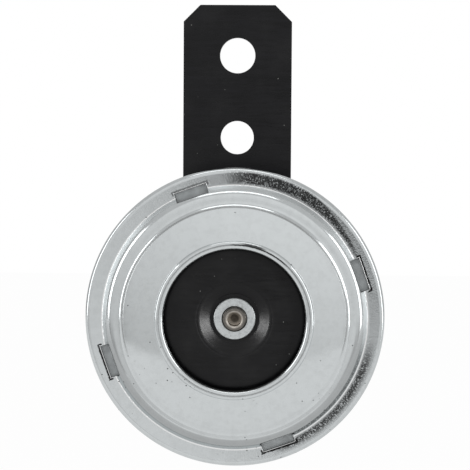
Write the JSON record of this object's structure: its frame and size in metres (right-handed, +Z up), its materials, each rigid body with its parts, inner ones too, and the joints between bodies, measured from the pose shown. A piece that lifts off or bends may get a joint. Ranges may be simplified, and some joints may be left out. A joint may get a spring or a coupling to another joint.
{
  "type": "car horn",
  "caption": "Electric disc horn: chromed pressed cover with a round mouth over a black drawn housing, on a flat black bracket, with coil, armature and contact breaker inside.",
  "frame": {"origin": "centre of the bracket's upper hole, on the bracket's flat back face", "axes": "+Z up along the bracket; +Y backwards through the hole, away from the listener; the horn faces -Y and its own axis is parallel to Y, 61.5 mm below the origin"},
  "size_m": [0.07, 0.0347, 0.1086],
  "materials": {
    "chrome_plate": "bright chromium plate on pressed steel",
    "black_enamel": "black enamel, semi-gloss, on drawn steel",
    "black_bracket_paint": "black satin paint on flat steel strip",
    "black_disc_paint": "black satin paint on dished steel",
    "zinc_plate": "bright zinc plate",
    "bare_steel": "plain turned steel, lightly oiled",
    "spring_steel": "rolled spring steel",
    "gasket_fibre": "grey compressed fibre",
    "copper_wire": "enamelled copper",
    "bobbin_nylon": "natural nylon",
    "phenolic_board": "brown phenolic laminate",
    "tinned_brass": "tinned brass",
    "contact_alloy": "tungsten contact facing"
  },
  "bodies": {
    "horn_body": {"front_cover": "chrome_plate", "front_gasket": "gasket_fibre", "rear_gasket": "gasket_fibre", "housing": "black_enamel", "diaphragm": "spring_steel", "pole_core": "bare_steel", "coil_bobbin": "bobbin_nylon", "coil_winding": "copper_wire", "contact_base": "spring_steel", "lower_contact_insulator": "phenolic_board", "middle_contact_insulator": "phenolic_board", "fixed_contact_arm": "spring_steel", "fixed_contact_point": "contact_alloy", "upper_contact_insulator": "phenolic_board", "contact_rivets": "zinc_plate", "adjuster_bush": "zinc_plate", "adjuster_lock_nut": "zinc_plate", "terminal_insulator": "phenolic_board", "inner_terminal_insulator": "phenolic_board", "left_terminal": "tinned_brass", "right_terminal": "tinned_brass", "terminal_tags": "tinned_brass", "terminal_rivets": "tinned_brass", "coil_lead": "copper_wire", "breaker_lead": "copper_wire", "terminal_lead": "copper_wire", "mounting_bracket": "black_bracket_paint", "spring_washer": "zinc_plate", "bracket_nut": "zinc_plate"},
    "vibrating_group": {"armature": "bare_steel", "tone_disc_spacer": "zinc_plate", "tone_disc": "black_disc_paint", "centre_washer": "zinc_plate"},
    "contact_blade": {"moving_contact_arm": "spring_steel", "moving_contact_point": "contact_alloy"},
    "adjuster": {"adjusting_screw": "zinc_plate"}
  },
  "joints": [
    {"name": "armature_stroke", "type": "slide", "parent": "horn_body", "child": "vibrating_group", "axis": [0, 1, 0], "range_m": [0, 0.0005], "stiffness_N_per_m": 30000, "deforming": ["diaphragm"]},
    {"name": "contact_opening", "type": "hinge", "parent": "horn_body", "child": "contact_blade", "pos_m": [0.0184, -0.01255, -0.0615], "axis": [0, 0, -1], "range_deg": [0, 4.2], "deforming": ["moving_contact_arm"]},
    {"name": "adjusting_screw_turn", "type": "hinge", "parent": "horn_body", "child": "adjuster", "pos_m": [0.0198, 0, -0.0615], "axis": [0, 1, 0], "range_deg": [-90, 90]}
  ],
  "couplings": [
    {"joint": "contact_opening", "follows": "armature_stroke", "rad_per_m": 126.58}
  ]
}
